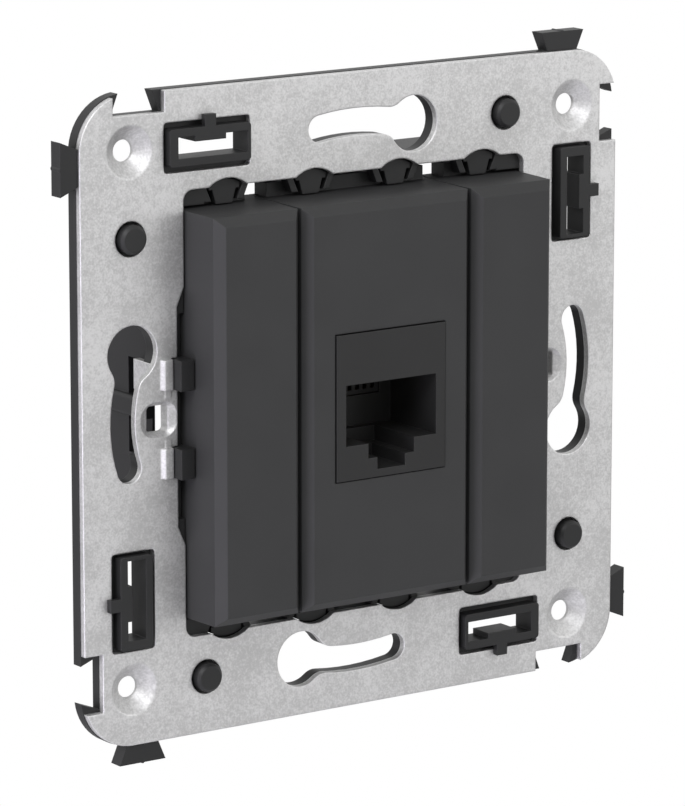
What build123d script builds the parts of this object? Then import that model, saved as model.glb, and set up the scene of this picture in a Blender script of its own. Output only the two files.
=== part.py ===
"""Flush network wall socket: a steel plate on a moulded frame, three clip-on covers and a data jack."""

from build123d import *
from math import acos, atan2, degrees
import os

os.makedirs("parts", exist_ok=True)

# Millimetres. The wall is the XZ plane, the room is on the -Y side, and heights are counted from
# the wall towards the room. Up is +Z.

# Steel support plate
plate_side = 71.0
plate_corner = 6.0
sheet = 0.8
opening_gap = 2.07
opening_corner = 1.2
relief_gap = 2.35
relief_low = 12.1
relief_high = 14.2

# Keyhole slots for the screws of a 60 mm wall box. They are drawn for the top side; the ones at
# the top and bottom follow the screw circle, and the side ones bulge further out.
slot_land = 3.97
slot_width = 3.0
slot_tail_x = -4.95
slot_shoulder = 2.0
slot_head_x = 7.55
slot_head_land = 1.47
slot_head_radius = 3.13
side_slot_gap = 3.05
side_slot_radius = 16.1
side_slot_width = 3.1

# Countersunk corner holes
corner_spacing = 58.6
corner_hole = 1.2
dimple_radius = 2.85
dimple_depth = 1.4
dimple_skirt = 0.35
dimple_rim = 0.4

# Burred holes for the claw screws, left and right, each with a wide rolled entry
claw_offset = 25.85
claw_hole_width = 2.7
claw_hole_height = 3.1
claw_hole_corner = 0.5
claw_collar_wall = 0.6
claw_collar_depth = 1.8
claw_entry_width = 4.75
claw_entry_height = 3.9
claw_entry_corner = 1.9
claw_entry_depth = 0.45

# Joggled sheet tabs that the side hooks hold, bent back behind the crest as guides for the claws
tab_offset = 4.85
tab_height = 3.3
tab_gap = 1.57
tab_flat = 1.02
tab_slope = 0.37
tab_rise = 0.45
guide_length = 4.05
guide_offset = 3.95
hook_notch = 2.0

# Frame moulding behind the sheet
flange = 1.4
flange_overhang = 0.07
slot_clearance = 0.1
basket_wall = 1.4
basket_side_wall = 1.35
basket_depth = 6.2
basket_corner = 1.5
side_wall_depth = 17.5
side_wall_half = 12.0
side_gap = 0.1

# Dovetails that join neighbouring frames
joint_offset = 28.1
dovetail_neck = 4.0
dovetail_outer = 5.85
dovetail_reach = 2.15
dovetail_foot = 0.1
dovetail_depth = 1.8
dovetail_nub = 0.3
dovetail_nub_proud = 0.1
dovetail_clearance = 0.1
notch_margin = 0.45

# Bushes in the rectangular windows of the sheet
window_x = -19.53
window_z = 29.3
window_length = 11.0
window_width = 5.47
window_corner = 0.4
bush_length = 10.3
bush_width = 4.1
bush_corner = 0.4
bush_proud = 0.75
bush_thick_end = 1.05
bush_thin_end = 0.4
bush_side = 0.9
bush_tongue_length = 3.9
bush_tongue_depth = 0.6
bush_hook_length = 1.4
bush_hook_lap = 0.6
hook_play = 0.05

# Round pins that the sheet is pushed over
pin_x = 19.99
pin_z = 29.27
pin_radius = 1.6
pin_hole = 1.92
pin_proud = 0.95
pin_chamfer = 0.3

# Covers: a 22.5 mm module with the port and a half module on each side
module = 22.5
module_height = 45.0
root_gap = 0.1
face_gap = 0.45
face_reach = 6.36
bevel_width = 0.95
bevel_depth = 1.08
cover_tail = 2.4
cover_wall = 1.2
cover_skin = 1.6
rim_front = 0.1
rim_height = 1.5
blank_rim_length = 9.2
port_rim_length = 20.8
stiffener = 1.0
stiffener_depth = 4.0
stiffener_spacing = 15.0

# Spring arms that hold the covers, four at the top and four at the bottom
arm_width = 3.9
arm_clearance = 0.5
arm_root = 1.6
arm_lift = 0.15
nose_top_width = 3.1
nose_foot_width = 2.1
nose_foot_gap = 0.08
scallop_chord = 4.9
scallop_rise = 0.86
scallop_gap = 0.15
rib_width = 0.8
rib_length = 1.7
rib_lean = 0.8
web_length = 3.2
web_gap = 0.25
stop_spacing = 21.0
stop_width = 1.5
stop_depth = 2.5
stop_gap = 0.1

# Side hooks, wedges and claw guides
hook_proud = 1.4
hook_gap = 0.08
wedge_drop = 0.2
wedge_end = 0.8
claw_window_half = 5.3
claw_window_depth = 3.7
claw_pocket_depth = 6.9
claw_pocket_floor = 0.35
claw_room_near = 3.8
claw_room_far = 6.1
claw_window_recess = 0.3
claw_rail_half = 1.2
claw_rail_start = 3.7
claw_rail_end = 12.0
claw_rail_proud = 0.6
claw_rail_round = 0.5

# Data jack
bezel_width = 14.4
bezel_height = 16.2
bezel_gap = 0.13
bezel_proud = 0.15
port_width = 12.0
port_top = 2.49
port_floor = -4.27
step_width = 6.1
step_floor = -5.92
notch_port_width = 3.7
notch_port_floor = -7.24
port_depth = 8.7
step_depth = 7.6
notch_port_depth = 6.4

collar_wall = 1.4
collar_depth = 8.4
latch_window_width = 5.4
latch_window_front = 4.2
latch_window_length = 2.2
latch_play = 0.15
latch_width = 4.8
latch_rise = 0.9
latch_thickness = 1.0
latch_slot = 0.7
latch_length = 14.0
latch_root = 1.4
latch_thumb = 1.3

jack_wall = 1.0
jack_body_width = 16.4
jack_body_height = 15.3
jack_body_depth = 11.4
shoulder_gap = 0.1

contact_count = 8
contact_pitch = 1.02
contact_width = 0.35
contact_thickness = 0.3
contact_level = 0.5
contact_tip_level = 2.05
contact_tip_height = 5.4
contact_bend = 0.6

carrier_width = 8.8
carrier_floor = -0.8
carrier_slot_width = 0.5
carrier_slot_floor = -0.3
carrier_gap = 0.1

board_width = 14.0
board_thickness = 1.2
board_gap = 0.1

block_base = 2.2
block_ridge_length = 6.2
block_ridge_width = 4.8
block_ridge_edge = 7.3
wire_slot_depth = 4.8
groove_start = 3.4
groove_length = 1.6
groove_depth = 0.5
groove_height = 9.0
wire_slot = 0.9
wire_pitch = 3.9
blade_width = 2.6
blade_thickness = 0.4
blade_slit = 0.35
blade_reach = 7.0
blade_slit_depth = 4.0
blade_gap = 0.05

cap_plate = 1.4
cap_gap = 0.15
cap_side_wall = 1.0
cap_side_length = 5.5
cap_cable_width = 6.4
cap_cable_height = 4.6
cap_corner = 1.2
cap_fin_length = 1.2

# Working allowances of the drawing
cut_margin = 0.2
tolerance = 0.01

# Values worked out from the driving sizes
plate_half = plate_side / 2
flange_half = plate_half + flange_overhang
sheet_front = flange + sheet
face_height = sheet_front + face_reach
bevel_height = face_height - bevel_depth
half_module = module / 2
cover_top = (module_height - root_gap) / 2
opening_height = module_height + 2 * opening_gap
opening_half = opening_height / 2
relief_reach = claw_offset - relief_gap
slot_middle = opening_half + slot_land + slot_width / 2
slot_head_z = opening_half + slot_head_land + slot_head_radius
side_slot_middle = claw_offset + side_slot_gap + side_slot_width / 2
arm_positions = [half_module * (index - 1.5) for index in range(4)]
scallop_radius = ((scallop_chord / 2) ** 2 + scallop_rise**2) / (2 * scallop_rise)
scallop_centre = opening_half + scallop_rise - scallop_radius
basket_outer_z = opening_half + basket_wall
basket_inner_x = module + side_gap
opening_width = 2 * basket_inner_x
basket_outer_x = basket_inner_x + basket_side_wall
arm_floor = cover_top + rim_height + arm_lift
tab_end = claw_offset - tab_gap
tab_crest = tab_end + tab_flat
tab_root = tab_crest + tab_slope
notch_width = dovetail_outer + 2 * dovetail_clearance + notch_margin
notch_depth = dovetail_reach + hook_play + dovetail_clearance
claw_collar_width = claw_hole_width + 2 * claw_collar_wall
claw_collar_height = claw_hole_height + 2 * claw_collar_wall
jack_front = face_height + bezel_proud
port_back = jack_front - port_depth


def level(height):
    """Plane parallel to the wall at a height in front of it, drawn as seen from the room."""
    return Plane.XZ.offset(height)


def back_level(height):
    """The same plane facing the wall, for what is drawn and extruded away from the room."""
    return Plane((0, -height, 0), x_dir=(1, 0, 0), z_dir=(0, 1, 0))


def finish(piece, name):
    """Name a finished piece and write it to its own file."""
    piece.part.label = name
    export_step(piece.part, f"parts/{name}.step")


def screw_slot(middle, radius, width):
    """Keyhole above the plate's middle: a round head opening that blends into an arc slot."""
    arc_centre = middle - radius
    start = degrees(acos(slot_head_x / radius))
    end = degrees(acos(slot_tail_x / radius))
    arc = Edge.make_circle(radius, start_angle=start, end_angle=end)
    with BuildSketch() as slot:
        with Locations((0, arc_centre)):
            SlotArc(arc, width)
        with Locations((slot_head_x, slot_head_z)):
            Circle(slot_head_radius)
        shoulders = slot.vertices().sort_by_distance((slot_head_x, slot_head_z))[:2]
        fillet(shoulders, slot_shoulder)
    return slot.sketch


def screw_slots():
    """The four keyholes, turned round the plate."""
    with BuildSketch() as slots:
        with PolarLocations(0, 2, start_angle=0):
            add(screw_slot(slot_middle, slot_middle, slot_width))
        with PolarLocations(0, 2, start_angle=90):
            add(screw_slot(side_slot_middle, side_slot_radius, side_slot_width))
    return slots.sketch


def dovetail(near, far, reach):
    """Tapered key drawn upwards from the frame's edge."""
    with BuildSketch() as key:
        Polygon((-near / 2, 0), (near / 2, 0), (far / 2, reach), (-far / 2, reach), align=None)
    return key.sketch


def opening_outline():
    """Middle opening of the sheet, with the scallops over the spring arms and the side reliefs."""
    with BuildSketch() as opening:
        RectangleRounded(opening_width, opening_height, opening_corner)
        with Locations(*[(x, side * scallop_centre) for x in arm_positions for side in (-1, 1)]):
            Circle(scallop_radius)
        edge = opening_width / 2
        Polygon((edge, relief_high), (relief_reach, relief_low), (relief_reach, -relief_low),
                (edge, -relief_high), (-edge, -relief_high), (-relief_reach, -relief_low),
                (-relief_reach, relief_low), (-edge, relief_high), align=None)
        with GridLocations(2 * tab_end - hook_notch, 2 * tab_offset, 2, 2):
            Rectangle(hook_notch, tab_height + 2 * hook_gap)
    return opening.sketch


# Steel support plate: blanked from galvanised sheet, with drawn dimples, burred holes and joggled tabs
with BuildPart() as steel_plate:
    with BuildSketch(level(flange)):
        RectangleRounded(plate_side, plate_side, plate_corner)
        add(opening_outline(), mode=Mode.SUBTRACT)
        add(screw_slots(), mode=Mode.SUBTRACT)
        with PolarLocations(0, 4):
            with Locations((-joint_offset, plate_half)):
                Rectangle(notch_width, 2 * notch_depth, mode=Mode.SUBTRACT)
            with Locations((window_x, window_z)):
                RectangleRounded(window_length, window_width, window_corner, mode=Mode.SUBTRACT)
            with Locations((pin_x, pin_z)):
                Circle(pin_hole, mode=Mode.SUBTRACT)
    extrude(amount=sheet)
    # Drawn cone around each corner hole, standing out behind the sheet
    cone_top = flange + sheet / 2
    cone_length = cone_top - (sheet_front - dimple_depth - dimple_skirt)
    cone_foot = corner_hole + sheet
    with BuildSketch(back_level(cone_top)):
        with GridLocations(corner_spacing, corner_spacing, 2, 2):
            Circle(dimple_radius)
    extrude(amount=cone_length, taper=degrees(atan2(dimple_radius - cone_foot, cone_length)))
    with Locations(level(sheet_front)):
        with GridLocations(corner_spacing, corner_spacing, 2, 2):
            cone_angle = 2 * degrees(atan2(dimple_radius - corner_hole, dimple_depth))
            CounterSinkHole(corner_hole, dimple_radius, counter_sink_angle=cone_angle)
    rims = steel_plate.edges().filter_by(GeomType.CIRCLE).filter_by(
        lambda edge: abs(edge.radius - dimple_radius) < tolerance
        and abs(edge.center().Y + sheet_front) < tolerance)
    fillet(rims, dimple_rim)
    # Burred claw-screw holes
    with BuildSketch(level(sheet_front - claw_collar_depth)):
        with GridLocations(2 * claw_offset, 1, 2, 1):
            RectangleRounded(claw_collar_width, claw_collar_height, claw_hole_corner + claw_collar_wall)
    extrude(amount=claw_collar_depth - sheet / 2)
    with BuildSketch(level(sheet_front)):
        with GridLocations(2 * claw_offset, 1, 2, 1):
            RectangleRounded(claw_hole_width, claw_hole_height, claw_hole_corner)
    extrude(amount=-claw_collar_depth, mode=Mode.SUBTRACT)
    for x in (-claw_offset, claw_offset):
        with BuildSketch(level(sheet_front)):
            with Locations((x, 0)):
                RectangleRounded(claw_entry_width, claw_entry_height, claw_entry_corner)
        with BuildSketch(level(sheet_front - claw_entry_depth)):
            with Locations((x, 0)):
                RectangleRounded(claw_hole_width, claw_hole_height, claw_hole_corner)
        loft(mode=Mode.SUBTRACT)
    # Joggled tabs beside the opening, each with a leg that guides the claw
    crest = sheet_front + tab_rise
    for side in (-1, 1):
        for z in (-tab_offset, tab_offset):
            with BuildSketch(Plane.XY.offset(z - tab_height / 2)):
                Polygon((side * tab_root, -sheet_front), (side * tab_crest, -crest),
                        (side * tab_end, -crest), (side * tab_end, -sheet_front), align=None)
            extrude(amount=tab_height)
            with BuildSketch(Plane.XY.offset(z - tab_height / 2)):
                Polygon((side * tab_root, -flange), (side * tab_crest, -flange - tab_rise),
                        (side * tab_end, -flange - tab_rise), (side * tab_end, -flange), align=None)
            extrude(amount=tab_height, mode=Mode.SUBTRACT)
    with BuildSketch(level(-guide_length)):
        with GridLocations(2 * tab_end + sheet, 2 * guide_offset, 2, 2):
            Rectangle(sheet, tab_height)
    extrude(amount=guide_length + flange + tab_rise + sheet / 2)
finish(steel_plate, "steel_plate")

# Frame moulding: flange behind the sheet, and the basket that reaches into the wall box
with BuildPart() as backing_frame:
    with BuildSketch(level(0)):
        RectangleRounded(2 * flange_half, 2 * flange_half, plate_corner + flange_overhang)
        add(screw_slots(), mode=Mode.SUBTRACT)
        with PolarLocations(0, 4):
            with Locations((-joint_offset, plate_half - notch_depth)):
                socket_neck = dovetail_neck + 2 * dovetail_clearance
                socket_outer = dovetail_outer + 2 * dovetail_clearance
                add(dovetail(socket_outer, socket_neck, notch_depth + flange_overhang), mode=Mode.SUBTRACT)
        with GridLocations(corner_spacing, corner_spacing, 2, 2):
            Circle(dimple_radius + 2 * slot_clearance, mode=Mode.SUBTRACT)
        # Clearances for the burred holes and the claw guides, and the windows that open beside them
        # towards the keyholes
        claw_link = side_slot_middle - claw_offset + claw_collar_width / 2 + slot_clearance
        with GridLocations(2 * side_slot_middle - claw_link, 1, 2, 1):
            Rectangle(claw_link, claw_collar_height + 2 * slot_clearance, mode=Mode.SUBTRACT)
        guide_slot = sheet + hook_gap + slot_clearance
        with GridLocations(2 * (tab_end - hook_gap) + guide_slot, 2 * guide_offset, 2, 2):
            Rectangle(guide_slot, tab_height + 2 * slot_clearance, mode=Mode.SUBTRACT)
        claw_edge = tab_end - hook_gap
        for side in (-1, 1):
            with Locations((side * (claw_edge + side_slot_middle) / 2, side * (claw_room_near - claw_room_far) / 2)):
                Rectangle(side_slot_middle - claw_edge, claw_room_near + claw_room_far, mode=Mode.SUBTRACT)
        Rectangle(2 * basket_inner_x, opening_height, mode=Mode.SUBTRACT)
    extrude(amount=flange)
    # Dovetails at the edges, thicker than the flange, up beside the sheet
    with BuildSketch(level(dovetail_foot)):
        with PolarLocations(0, 4):
            with Locations((joint_offset, plate_half + hook_play)):
                add(dovetail(dovetail_neck, dovetail_outer, dovetail_reach))
                with Locations((0, dovetail_reach + dovetail_nub_proud - dovetail_nub)):
                    Circle(dovetail_nub)
    extrude(amount=dovetail_depth)
    # Basket walls behind the flange, and the deep middle stretch of both side walls
    with BuildSketch(level(0)):
        RectangleRounded(2 * basket_outer_x, 2 * basket_outer_z, basket_corner)
        Rectangle(2 * basket_inner_x, opening_height, mode=Mode.SUBTRACT)
    extrude(amount=-basket_depth)
    with BuildSketch(level(0)):
        with GridLocations(basket_inner_x + basket_outer_x, 1, 2, 1):
            Rectangle(basket_side_wall, 2 * side_wall_half)
    extrude(amount=-side_wall_depth)
    # Corner webs beside the outer spring arms
    web_drop = opening_half - cover_top - web_gap
    with BuildSketch(level(0)):
        with GridLocations(2 * basket_inner_x - web_length, opening_height - web_drop, 2, 2):
            Rectangle(web_length, web_drop)
    extrude(amount=flange)
    # Room for the spring arms: scallops in the flange, and slots through the basket wall
    slot_half = arm_width / 2 + arm_clearance
    with BuildSketch(level(flange)):
        with Locations(*[(x, side * scallop_centre) for x in arm_positions for side in (-1, 1)]):
            Circle(scallop_radius)
        with GridLocations(half_module, 2 * opening_half, 4, 2):
            Rectangle(2 * slot_half, 2 * scallop_rise, mode=Mode.INTERSECT)
    extrude(amount=-flange, mode=Mode.SUBTRACT)
    with BuildSketch(level(0)):
        with GridLocations(half_module, 2 * opening_half + basket_wall, 4, 2):
            Rectangle(2 * slot_half, basket_wall + 2 * cut_margin)
    extrude(amount=arm_root - basket_depth, mode=Mode.SUBTRACT)
    # Spring arms, domed on the outside to clear the scallops
    with BuildSketch(level(flange)):
        with Locations(*[(x, side * scallop_centre) for x in arm_positions for side in (-1, 1)]):
            Circle(scallop_radius - scallop_gap)
        with GridLocations(half_module, arm_floor + opening_half + basket_wall, 4, 2):
            Rectangle(arm_width, opening_half + basket_wall - arm_floor, mode=Mode.INTERSECT)
    extrude(amount=-(flange + basket_depth))
    # Noses at the front ends, down to the covers, and the leaning ribs beside them
    nose_foot = cover_top + nose_foot_gap
    for side in (-1, 1):
        with BuildSketch(level(flange)):
            foot = side * nose_foot
            nose_top = side * (arm_floor + arm_lift)
            rib_top = side * (opening_half + arm_lift)
            rib_foot = side * (opening_half - rib_length)
            for x in arm_positions:
                with Locations((x, 0)):
                    Polygon((-nose_foot_width / 2, foot), (nose_foot_width / 2, foot),
                            (nose_top_width / 2, nose_top), (-nose_top_width / 2, nose_top), align=None)
                    for hand in (-1, 1):
                        near = hand * slot_half
                        far = hand * (slot_half + rib_width)
                        lean = -hand * rib_lean
                        Polygon((near, rib_top), (far, rib_top), (far + lean, rib_foot),
                                (near + lean, rib_foot), align=None)
        extrude(amount=-(flange - rim_front))
    # Stops behind the rims of the covers
    with BuildSketch(level(-cover_tail - stop_gap)):
        with GridLocations(stop_spacing, cover_top + opening_half, 3, 2):
            Rectangle(stop_width, opening_half - cover_top)
    extrude(amount=-stop_depth)
    # Side hooks that hold the joggled tabs, and wedges at the ends of the reliefs
    hook_reach = tab_end - hook_gap
    hook_inner = module - root_gap / 2 + hook_gap
    with BuildSketch(level(0)):
        with GridLocations(hook_reach + hook_inner, 2 * tab_offset, 2, 2):
            Rectangle(hook_reach - hook_inner, tab_height)
    extrude(amount=sheet_front + tab_rise + hook_proud)
    with BuildSketch(level(0)):
        for side in (-1, 1):
            for end in (-1, 1):
                Polygon((side * hook_inner, end * (relief_low - wedge_end)),
                        (side * (relief_reach - hook_gap), end * (relief_low - wedge_end)),
                        (side * (relief_reach - hook_gap), end * (relief_low - hook_gap)),
                        (side * hook_inner, end * (relief_high - 2 * hook_gap)), align=None)
    extrude(amount=sheet_front - wedge_drop)
    # Claw windows in the side walls, each with a pocket behind it and a rounded guide rail
    with BuildSketch(level(claw_window_recess)):
        with GridLocations(basket_inner_x + basket_outer_x, 1, 2, 1):
            Rectangle(2 * basket_side_wall, 2 * claw_window_half)
    extrude(amount=-(claw_window_recess + claw_window_depth), mode=Mode.SUBTRACT)
    with BuildSketch(level(-claw_window_depth)):
        with GridLocations(2 * basket_outer_x, 1, 2, 1):
            Rectangle(2 * (basket_side_wall - claw_pocket_floor), 2 * claw_window_half)
    extrude(amount=claw_window_depth - claw_pocket_depth, mode=Mode.SUBTRACT)
    with BuildSketch(level(-claw_rail_start)):
        RectangleRounded(2 * (basket_outer_x + claw_rail_proud), 2 * claw_rail_half, claw_rail_round)
        Rectangle(2 * basket_inner_x, 2 * claw_rail_half, mode=Mode.SUBTRACT)
    extrude(amount=-(claw_rail_end - claw_rail_start))
    # Pins and bushes that stand through the sheet
    with BuildSketch(level(flange)):
        with PolarLocations(0, 4):
            with Locations((pin_x, pin_z)):
                Circle(pin_radius)
    extrude(amount=sheet + pin_proud)
    pin_top = -(sheet_front + pin_proud)
    pin_rims = backing_frame.edges().filter_by(GeomType.CIRCLE).filter_by(
        lambda edge: abs(edge.radius - pin_radius) < tolerance
        and abs(edge.center().Y - pin_top) < tolerance)
    chamfer(pin_rims, pin_chamfer)
    with BuildSketch(level(0)):
        with PolarLocations(0, 4):
            with Locations((window_x, window_z)):
                RectangleRounded(bush_length, bush_width, bush_corner)
    extrude(amount=sheet_front + bush_proud)
    with BuildSketch(level(sheet_front + hook_play)):
        with PolarLocations(0, 4):
            lap = (window_width - bush_width) / 2 + bush_hook_lap
            with Locations((window_x, window_z + (bush_width + lap) / 2)):
                Rectangle(bush_hook_length, lap)
    extrude(amount=bush_proud - hook_play)
    with BuildSketch(level(0)):
        with PolarLocations(0, 4):
            hollow = bush_length - bush_thick_end - bush_thin_end
            with Locations((window_x + (bush_thick_end - bush_thin_end) / 2, window_z)):
                Rectangle(hollow, bush_width - 2 * bush_side)
            with Locations((window_x, window_z + bush_width / 2 - bush_side - bush_tongue_depth / 2)):
                Rectangle(bush_tongue_length, bush_tongue_depth, mode=Mode.SUBTRACT)
    extrude(amount=sheet_front + bush_proud, mode=Mode.SUBTRACT)
finish(backing_frame, "backing_frame")


def cover_shell(width, centre, rim_length, rim_centre):
    """Clip-on cover: drafted sides, bevelled face, open behind, with catch rims above and below."""
    with BuildPart() as shell:
        for height, gap, bevel in ((-cover_tail, root_gap, 0), (bevel_height, face_gap, 0),
                                   (face_height, face_gap, 2 * bevel_width)):
            with BuildSketch(level(height)):
                with Locations((centre, 0)):
                    Rectangle(width - gap - bevel, module_height - gap - bevel)
        loft(ruled=True)
        inner = 2 * cover_wall
        for height, gap in ((-cover_tail, root_gap), (face_height - cover_skin, face_gap)):
            with BuildSketch(level(height)):
                with Locations((centre, 0)):
                    Rectangle(width - gap - inner, module_height - gap - inner)
        loft(ruled=True, mode=Mode.SUBTRACT)
        rim_z = cover_top + (rim_height - cover_wall) / 2
        with BuildSketch(level(-rim_front)):
            with Locations((rim_centre, -rim_z), (rim_centre, rim_z)):
                Rectangle(rim_length, rim_height + cover_wall)
        extrude(amount=-(cover_tail - rim_front))
    return shell


# Blank covers, half a module wide, one on each side of the port
for name, hand in (("blank_cover_left", -1), ("blank_cover_right", 1)):
    outer_end = module - root_gap / 2
    blank = cover_shell(half_module, hand * 1.5 * half_module, blank_rim_length,
                        hand * (outer_end - blank_rim_length / 2))
    with BuildPart() as blank_cover:
        add(blank.part)
        with BuildSketch(level(face_height - cover_skin)):
            with Locations((hand * 1.5 * half_module, 0)):
                with GridLocations(1, stiffener_spacing, 1, 2):
                    Rectangle(half_module - face_gap - cover_wall, stiffener)
        extrude(amount=-stiffener_depth)
    finish(blank_cover, name)

# Port cover, a full module with the jack opening and a collar that holds the jack
port_shell = cover_shell(module, 0, port_rim_length, 0)
collar_width = bezel_width + 2 * bezel_gap
collar_height = bezel_height + 2 * bezel_gap
with BuildPart() as port_cover:
    add(port_shell.part)
    with BuildSketch(level(face_height - cover_skin / 2)):
        Rectangle(collar_width + 2 * collar_wall, collar_height + 2 * collar_wall)
    extrude(amount=-(cover_skin / 2 + collar_depth - cover_skin))
    with BuildSketch(level(face_height)):
        Rectangle(collar_width, collar_height)
    extrude(amount=-(face_height + cover_tail), mode=Mode.SUBTRACT)
    with BuildSketch(level(latch_window_front)):
        Rectangle(latch_window_width, collar_height + 4 * collar_wall)
    extrude(amount=-latch_window_length, mode=Mode.SUBTRACT)
collar_end = face_height - collar_depth
finish(port_cover, "port_cover")

# Jack housing: front body with the plug port, spring latch on top, fixed lug below, wider rear body
body_front = collar_end - shoulder_gap
body_rear = body_front - jack_body_depth
half_bezel = bezel_height / 2
latch_floor = half_bezel - latch_thickness
body_top = latch_floor - latch_slot
body_bottom = body_top - jack_body_height
cavity_width = board_width + 2 * board_gap
cavity_centre = (body_top - jack_wall + body_bottom + jack_wall) / 2
cavity_height = jack_body_height - 2 * jack_wall
nose_front = latch_window_front - latch_play
nose_back = latch_window_front - latch_window_length + latch_play
with BuildPart() as jack_housing:
    with BuildSketch(level(jack_front)):
        Rectangle(bezel_width, bezel_height)
    extrude(amount=-latch_root)
    with BuildSketch(level(jack_front)):
        with Locations((0, (body_top - half_bezel) / 2)):
            Rectangle(bezel_width, body_top + half_bezel)
    extrude(amount=-(jack_front - body_front))
    with BuildSketch(level(body_front)):
        with Locations((0, body_top - jack_body_height / 2)):
            Rectangle(jack_body_width, jack_body_height)
    extrude(amount=-jack_body_depth)
    # Spring latch over the body, and the fixed lug under it
    latch_start = latch_root / 2 - jack_front
    latch_end = latch_length - jack_front
    thumb_top = half_bezel + latch_thumb
    with BuildSketch(Plane.YZ):
        Polygon((latch_start, latch_floor), (latch_end, latch_floor), (latch_end, thumb_top),
                (latch_end - latch_thickness, thumb_top), (latch_end - 2 * latch_thickness, half_bezel),
                (-nose_back, half_bezel), (-nose_back, half_bezel + latch_rise), (-nose_front, half_bezel),
                (latch_start, half_bezel), align=None)
        lug_top = latch_thickness - half_bezel
        Polygon((-nose_front, -half_bezel), (-nose_back, -half_bezel - latch_rise),
                (-nose_back, -half_bezel), (-nose_back, lug_top), (-nose_front, lug_top), align=None)
    extrude(amount=latch_width / 2, both=True)
    # Plug port with its two steps for the plug's own latch
    for width, floor, depth in ((port_width, port_floor, port_depth), (step_width, step_floor, step_depth),
                                (notch_port_width, notch_port_floor, notch_port_depth)):
        with BuildSketch(level(jack_front)):
            with Locations((0, (port_top + floor) / 2)):
                Rectangle(width, port_top - floor)
        extrude(amount=-depth, mode=Mode.SUBTRACT)
    # Rear cavity for the carrier and the board, and the window for the contacts
    with BuildSketch(level(port_back - jack_wall)):
        with Locations((0, cavity_centre)):
            Rectangle(cavity_width, cavity_height)
    extrude(amount=-(port_back - jack_wall - body_rear), mode=Mode.SUBTRACT)
    with BuildSketch(level(port_back)):
        with Locations((0, (port_top + carrier_floor - carrier_gap) / 2)):
            Rectangle(carrier_width + 2 * carrier_gap, port_top - carrier_floor + carrier_gap)
    extrude(amount=-jack_wall, mode=Mode.SUBTRACT)
finish(jack_housing, "jack_housing")

# Contact carrier: a comb that keeps the eight spring contacts apart, in front of the board
board_back = body_rear - shoulder_gap
board_front = board_back + board_thickness
contact_positions = [contact_pitch * (index - (contact_count - 1) / 2) for index in range(contact_count)]
with BuildPart() as contact_carrier:
    with BuildSketch(level(port_back)):
        with Locations((0, (port_top - carrier_gap + carrier_floor) / 2)):
            Rectangle(carrier_width, port_top - carrier_gap - carrier_floor)
    extrude(amount=-(port_back - board_front))
    with BuildSketch(level(port_back)):
        with Locations(*[(x, (port_top + carrier_slot_floor) / 2) for x in contact_positions]):
            Rectangle(carrier_slot_width, port_top - carrier_slot_floor)
    extrude(amount=-(port_back - board_front), mode=Mode.SUBTRACT)
finish(contact_carrier, "contact_carrier")

# Spring contacts: flat wires from the board through the comb, rising into the port
for index, x in enumerate(contact_positions):
    with BuildPart() as contact:
        with BuildSketch(Plane.YZ.offset(x - contact_width / 2)):
            with BuildLine() as wire:
                FilletPolyline((-board_front, contact_level), (-port_back, contact_level),
                               (-contact_tip_height, contact_tip_level), radius=contact_bend)
            trace(line_width=contact_thickness)
        extrude(amount=contact_width)
    finish(contact, f"contact_{index + 1}")

# Circuit board between the spring contacts and the terminals
with BuildPart() as circuit_board:
    with BuildSketch(level(board_front)):
        with Locations((0, cavity_centre)):
            Rectangle(board_width, cavity_height - 2 * board_gap)
    extrude(amount=-board_thickness)
finish(circuit_board, "circuit_board")

# Terminal block: two ridges of four wire slots, with a pocket for each blade
block_front = board_back
ridge_top = block_front - block_base - block_ridge_length
ridge_centre = block_ridge_edge - block_ridge_width / 2
wire_positions = [wire_pitch * (index - 1.5) for index in range(4)]
terminals = [(x, cavity_centre + side * ridge_centre) for side in (1, -1) for x in wire_positions]
with BuildPart() as terminal_block:
    with BuildSketch(level(block_front)):
        with Locations((0, cavity_centre)):
            Rectangle(jack_body_width, jack_body_height)
    extrude(amount=-block_base)
    with BuildSketch(level(block_front - block_base)):
        with Locations(*[(0, cavity_centre + side * ridge_centre) for side in (-1, 1)]):
            Rectangle(jack_body_width, block_ridge_width)
    extrude(amount=-block_ridge_length)
    with BuildSketch(level(ridge_top + wire_slot_depth)):
        with Locations(*[(x, cavity_centre) for x in wire_positions]):
            Rectangle(wire_slot, jack_body_height)
    extrude(amount=-wire_slot_depth, mode=Mode.SUBTRACT)
    with BuildSketch(level(block_front)):
        with Locations(*terminals):
            Rectangle(blade_width + 2 * blade_gap, blade_thickness + 2 * blade_gap)
    extrude(amount=-(block_base + block_ridge_length), mode=Mode.SUBTRACT)
    # Grooves on both sides for the cap's hooks
    with BuildSketch(level(block_front - groove_start)):
        with GridLocations(jack_body_width, 1, 2, 1):
            with Locations((0, cavity_centre)):
                Rectangle(2 * groove_depth, groove_height)
    extrude(amount=-groove_length, mode=Mode.SUBTRACT)
finish(terminal_block, "terminal_block")

# Terminal blades: flat forks that cut into the wires
for index, (x, z) in enumerate(terminals):
    with BuildPart() as blade:
        with BuildSketch(Plane.XY.offset(z - blade_thickness / 2)):
            tip = -block_front + blade_reach
            half = blade_width / 2
            slit = blade_slit / 2
            Polygon((x - half, -block_front), (x + half, -block_front), (x + half, tip - half / 2),
                    (x + half / 2, tip), (x + slit, tip - half / 2), (x + slit, tip - blade_slit_depth),
                    (x - slit, tip - blade_slit_depth), (x - slit, tip - half / 2), (x - half / 2, tip),
                    (x - half, tip - half / 2), align=None)
        extrude(amount=blade_thickness)
    finish(blade, f"terminal_blade_{index + 1}")

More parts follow.
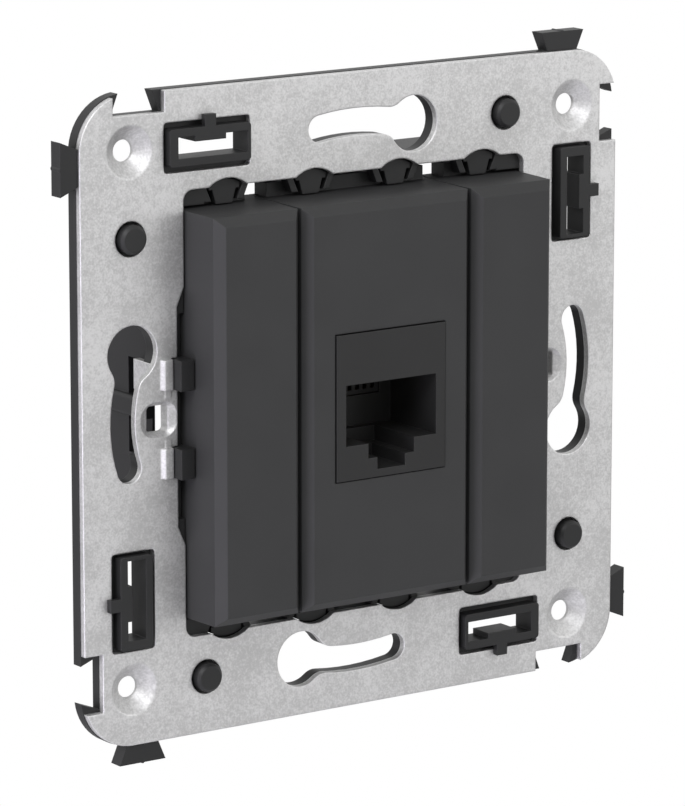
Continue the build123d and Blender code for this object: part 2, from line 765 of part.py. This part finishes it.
# Wiring cap: clips over the terminal block and presses the wires into the blades
cap_inside = ridge_top - shoulder_gap
cap_half = jack_body_width / 2 + cap_gap + cap_side_wall
with BuildPart() as wiring_cap:
    with BuildSketch(level(cap_inside)):
        with Locations((0, cavity_centre)):
            RectangleRounded(2 * cap_half, jack_body_height, cap_corner)
            Rectangle(cap_cable_width, cap_cable_height, mode=Mode.SUBTRACT)
    extrude(amount=-cap_plate)
    with BuildSketch(level(cap_inside)):
        with Locations(*[(side * (cap_half - cap_side_wall / 2), cavity_centre) for side in (-1, 1)]):
            Rectangle(cap_side_wall, groove_height - 2 * cap_gap)
    extrude(amount=cap_side_length)
    with BuildSketch(level(cap_inside)):
        fin = (block_ridge_width - blade_thickness) / 2 - 2 * cap_gap
        offsets = [side * (blade_thickness / 2 + cap_gap + fin / 2) for side in (-1, 1)]
        with Locations(*[(x, z + shift) for x, z in terminals for shift in offsets]):
            Rectangle(wire_slot - 2 * cap_gap, fin)
    extrude(amount=cap_fin_length)
    # Hooks that drop into the grooves of the terminal block
    hook_level = -(block_front - groove_start - groove_length + cap_gap)
    with BuildSketch(Plane.XY.offset(cavity_centre - groove_height / 2 + cap_gap)):
        hook_end = hook_level - groove_length + 2 * cap_gap
        for side in (-1, 1):
            inner = side * (cap_half - cap_side_wall)
            buried = inner + side * cap_side_wall / 2
            Polygon((buried, hook_level), (inner, hook_level), (inner - side * groove_depth, hook_level),
                    (inner, hook_end), (buried, hook_end), align=None)
    extrude(amount=groove_height - 2 * cap_gap)
finish(wiring_cap, "wiring_cap")
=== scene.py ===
import math

import bpy
import numpy as np
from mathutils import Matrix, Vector

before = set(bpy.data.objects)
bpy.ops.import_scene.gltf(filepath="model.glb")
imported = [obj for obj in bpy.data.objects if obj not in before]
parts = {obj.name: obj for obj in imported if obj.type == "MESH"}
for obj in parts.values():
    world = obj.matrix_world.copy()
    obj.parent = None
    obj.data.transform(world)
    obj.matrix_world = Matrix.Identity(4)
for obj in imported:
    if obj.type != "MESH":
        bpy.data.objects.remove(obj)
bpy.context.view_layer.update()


# Steel plate. Blanked and pressed from 0.8 mm hot-dip galvanised sheet: the zinc is dull, with a fine
# speckle, and sheared edges and burred holes are rolled, with a painted highlight. It is pushed over the
# frame's pins.

class Wire:
    """A value in a material: arithmetic on it adds Math nodes."""

    def __init__(self, finish, socket):
        self.finish = finish
        self.socket = socket

    def math(self, operation, first, second):
        return self.finish.node("ShaderNodeMath", {"operation": operation}, {0: first, 1: second})

    def __add__(self, other):
        return self.math("ADD", self, other)

    def __sub__(self, other):
        return self.math("SUBTRACT", self, other)

    def __rsub__(self, other):
        return self.math("SUBTRACT", other, self)

    def __mul__(self, other):
        return self.math("MULTIPLY", self, other)

    __radd__ = __add__
    __rmul__ = __mul__

    def step(self, low, high):
        """0 below low, 1 above high, with a smooth rise between them."""
        return self.finish.node("ShaderNodeMapRange", {"interpolation_type": "SMOOTHSTEP"},
                                {"Value": self, "From Min": low, "From Max": high})


class Finish:
    """One surface finish: a Principled shader whose inputs vary with the place on the piece."""

    def __init__(self, name, **fixed):
        self.material = bpy.data.materials.new(name)
        self.material.use_nodes = True
        self.tree = self.material.node_tree
        self.shader = self.tree.nodes["Principled BSDF"]
        self.place = self.node("ShaderNodeTexCoord", output="Object")
        for socket, value in fixed.items():
            self.shader.inputs[socket.replace("_", " ")].default_value = value

    def node(self, kind, settings=None, sockets=None, output=0):
        """Adds one node: its settings first, then the numbers, colours or wires of its sockets."""
        made = self.tree.nodes.new(kind)
        for name, value in (settings or {}).items():
            setattr(made, name, value)
        for key, value in (sockets or {}).items():
            self.feed(made.inputs[key], value)
        return Wire(self, made.outputs[output])

    def feed(self, socket, value):
        if isinstance(value, Wire):
            self.tree.links.new(value.socket, socket)
        elif value is not None:
            socket.default_value = value

    def set(self, **varying):
        for socket, value in varying.items():
            self.feed(self.shader.inputs[socket.replace("_", " ")], value)

    def noise(self, size, detail=2.0, roughness=0.5):
        """Cloudy value around a half, with patches about as large as size in metres."""
        return self.node("ShaderNodeTexNoise", None,
                         {"Vector": self.place, "Scale": 1 / size, "Detail": detail, "Roughness": roughness})

    def mix(self, factor, first, second):
        """Colour between first, where the factor is 0, and second, where it is 1."""
        return self.node("ShaderNodeMix", {"data_type": "RGBA"}, {0: factor, 6: first, 7: second}, output=2)

    def rounded(self, radius):
        """Surface direction as if every edge were rounded to that radius."""
        return self.node("ShaderNodeBevel", {"samples": 6}, {"Radius": radius})

    def edges(self, rounded):
        """1 on flat faces, and less where the rounded direction leaves the face's own."""
        face = self.node("ShaderNodeNewGeometry", output="True Normal")
        return self.node("ShaderNodeVectorMath", {"operation": "DOT_PRODUCT"}, {0: rounded, 1: face},
                         output="Value")

    def bump(self, height, depth, normal=None):
        """Surface direction of a relief: height runs from 0 to 1, and depth is in metres."""
        return self.node("ShaderNodeBump", None,
                         {"Strength": 1.0, "Distance": depth, "Height": height, "Normal": normal})


def grey(level, warmth=0.0):
    """A grey of that level, a little warmer where warmth is above 0 and cooler below."""
    return (level * (1 + warmth), level, level * (1 - warmth), 1.0)


speckle_depth = 0.00003
rolled_radius = 0.00025

zinc = Finish("galvanised_steel", Metallic=1.0)
cloud = zinc.noise(0.0060, detail=3.0, roughness=0.6)
mottle = zinc.noise(0.0006, roughness=0.6)
grain = zinc.noise(0.00024)
tone = (cloud * 0.3 + mottle * 0.3 + grain * 0.4).step(0.38, 0.62)
zinc_edge = zinc.rounded(rolled_radius)
# Painted highlight: the rounded rims of the sheet and of its holes are painted a lighter grey, and made
# smoother.
painted_rim_highlight = 1 - zinc.edges(zinc_edge).step(0.80, 0.99)
surface = zinc.mix(tone, grey(0.49, 0.004), grey(0.64, 0.004))
zinc.set(Base_Color=zinc.mix(painted_rim_highlight * 0.8, surface, grey(0.74)),
         Roughness=0.52 + 0.10 * cloud - 0.16 * painted_rim_highlight,
         Normal=zinc.bump(grain * 0.5 + mottle * 0.5, speckle_depth, zinc_edge))


def dress(finish, *names):
    """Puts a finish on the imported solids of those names."""
    for name in names:
        slots = parts[name].data.materials
        slots.clear()
        slots.append(finish.material)


dress(zinc, "steel_plate")


# Frame moulding. One black injection-moulded piece behind the plate: flange, basket, spring arms,
# bushes, pins and dovetails. Its tool was polished, so it shines a little more than the covers.

def plastic(name, level, warmth, roughness, grain_size, grain_depth, edge_radius):
    """Moulded plastic: an even colour with faint flow clouds, fine grain, and softly rounded edges painted
    lighter as a painted highlight.
    """
    flow_size = 0.009
    made = Finish(name, Specular_IOR_Level=0.35)
    flow = made.noise(flow_size)
    fine = made.noise(grain_size, roughness=0.6)
    soft = made.rounded(edge_radius)
    # Painted highlight: the rounded edges are painted a lighter grey, and made smoother.
    painted_edge_highlight = 1 - made.edges(soft).step(0.75, 0.99)
    body = made.mix(flow.step(0.3, 0.7), grey(level * 0.94, warmth), grey(level * 1.06, warmth))
    made.set(Base_Color=made.mix(painted_edge_highlight * 0.5, body, grey(level * 1.7 + 0.006, warmth)),
             Roughness=roughness + 0.08 * fine + 0.05 * flow - 0.06 * painted_edge_highlight,
             Normal=made.bump(fine, grain_depth, soft))
    return made


frame_black = plastic("frame_plastic", level=0.015, warmth=-0.01, roughness=0.42,
                      grain_size=0.0004, grain_depth=0.000004, edge_radius=0.00015)
dress(frame_black, "backing_frame")


# Covers. Three clip-on mouldings in anthracite plastic with a fine matt grain: a port cover one
# module wide between two blanks of half a module. Their rims catch under the frame's spring arms.

anthracite = plastic("cover_plastic", level=0.028, warmth=-0.01, roughness=0.50,
                     grain_size=0.00022, grain_depth=0.000006, edge_radius=0.00018)
dress(anthracite, "port_cover", "blank_cover_left", "blank_cover_right")


# Data jack. A black clip-in housing with the plug port, and behind the port a comb that holds eight
# flat springs of gold-plated bronze. The springs are soldered to a small circuit board.

jack_black = plastic("jack_plastic", level=0.014, warmth=0.0, roughness=0.42,
                     grain_size=0.0003, grain_depth=0.000004, edge_radius=0.00012)
dress(jack_black, "jack_housing", "contact_carrier")

strip_edge = 0.00006

gold = Finish("contact_gold", Metallic=1.0)
rubbing = gold.noise(0.0008)
gold.set(Base_Color=gold.mix(rubbing, (0.78, 0.56, 0.22, 1.0), (0.90, 0.70, 0.34, 1.0)),
         Roughness=0.22 + 0.15 * rubbing,
         Normal=gold.rounded(strip_edge))
dress(gold, *[f"contact_{index}" for index in range(1, 9)])

mask_green = Finish("board_laminate")
threads = {"Vector": mask_green.place, "Scale": 320.0, "Distortion": 1.0}
warp, weft = [mask_green.node("ShaderNodeTexWave", {"wave_type": "BANDS", "bands_direction": along}, threads)
              for along in ("X", "Z")]
weave = (warp + weft) * 0.5
mask_green.set(Base_Color=mask_green.mix(weave, (0.012, 0.095, 0.035, 1.0), (0.022, 0.135, 0.055, 1.0)),
               Roughness=0.28 + 0.1 * weave,
               Normal=mask_green.bump(weave, 0.000008))
dress(mask_green, "circuit_board")


# Terminals. The cable's eight wires are pressed into slots of a black block, where forked blades of
# tinned bronze cut through their insulation. The cap is pushed on from behind and clips into grooves.

terminal_black = plastic("terminal_plastic", level=0.018, warmth=0.0, roughness=0.42,
                         grain_size=0.0003, grain_depth=0.000005, edge_radius=0.00015)
dress(terminal_black, "terminal_block", "wiring_cap")

tinned = Finish("blade_metal", Metallic=1.0)
smear = tinned.noise(0.0006, detail=3.0)
tinned.set(Base_Color=tinned.mix(smear, grey(0.55, 0.01), grey(0.70, 0.01)),
           Roughness=0.25 + 0.2 * smear,
           Normal=tinned.rounded(strip_edge))
dress(tinned, *[f"terminal_blade_{index}" for index in range(1, 9)])


# Studio. The socket hangs in front of a pale backdrop, as on a catalogue page, over a pale floor, and
# is lit softly from above on the left, with weaker lights on the right, on the left and below.

floor_half = 6.0
floor_level = -0.45
ambient = 0.45

floor_mesh = bpy.data.meshes.new("floor")
corners = np.array([(-1, -1), (1, -1), (1, 1), (-1, 1)]) * floor_half
floor_mesh.from_pydata([(x, y, floor_level) for x, y in corners], [], [(0, 1, 2, 3)])
floor = bpy.data.objects.new("floor", floor_mesh)
bpy.context.scene.collection.objects.link(floor)

pale = Finish("floor_white", Base_Color=grey(0.85))
floor_mesh.materials.append(pale.material)
pale.set(Roughness=0.85 + 0.05 * pale.noise(0.05))
rays = pale.node("ShaderNodeLightPath", output="Is Camera Ray")
glow = pale.node("ShaderNodeEmission", None, {"Color": grey(1.0), "Strength": 1.0})
seen = pale.node("ShaderNodeMixShader", None, {0: rays, 1: Wire(pale, pale.shader.outputs[0]), 2: glow})
pale.feed(pale.tree.nodes["Material Output"].inputs["Surface"], seen)

world = bpy.data.worlds.new("studio")
bpy.context.scene.world = world
world.use_nodes = True
sky = world.node_tree
path = sky.nodes.new("ShaderNodeLightPath")
shown = path.outputs["Is Camera Ray"]
for ray in ("Is Glossy Ray", "Is Transmission Ray"):
    either = sky.nodes.new("ShaderNodeMath")
    either.operation = "MAXIMUM"
    sky.links.new(shown, either.inputs[0])
    sky.links.new(path.outputs[ray], either.inputs[1])
    shown = either.outputs[0]
strength = sky.nodes.new("ShaderNodeMapRange")
strength.inputs["To Min"].default_value = ambient
strength.inputs["To Max"].default_value = 1.0
sky.links.new(shown, strength.inputs["Value"])
background = sky.nodes["Background"]
background.inputs["Color"].default_value = grey(1.0)
sky.links.new(strength.outputs[0], background.inputs["Strength"])


def lamp(name, place, size, power, colour=(1.0, 1.0, 1.0)):
    """A square soft box of that size in metres that faces the middle of the socket."""
    light = bpy.data.lights.new(name, "AREA")
    light.shape = "SQUARE"
    light.size = size
    light.energy = power
    light.color = colour
    holder = bpy.data.objects.new(name, light)
    holder.location = place
    holder.rotation_euler = (-Vector(place)).to_track_quat("-Z", "Y").to_euler()
    bpy.context.scene.collection.objects.link(holder)


lamp("key", (-0.55, -0.45, 0.65), size=0.45, power=5.0, colour=(0.97, 0.97, 1.0))
lamp("fill", (0.60, -0.70, 0.20), size=0.60, power=1.6)
lamp("side", (-0.75, -0.07, -0.15), size=0.50, power=3.5, colour=(0.90, 0.86, 1.0))
lamp("low", (-0.05, -0.28, -0.40), size=0.30, power=0.4, colour=(0.92, 0.90, 1.0))

view_down = 11.98
view_left = -34.78

camera = bpy.data.objects.new("camera", bpy.data.cameras.new("camera"))
camera.data.lens = 223.1
camera.data.sensor_width = 36.0
camera.data.clip_start = 0.05
camera.data.clip_end = 20.0
camera.location = (-0.30775, -0.44249, 0.11274)
camera.rotation_euler = (math.radians(90 - view_down), 0.0, math.radians(view_left))
bpy.context.scene.collection.objects.link(camera)
bpy.context.scene.camera = camera
bpy.context.scene.view_settings.view_transform = "Standard"
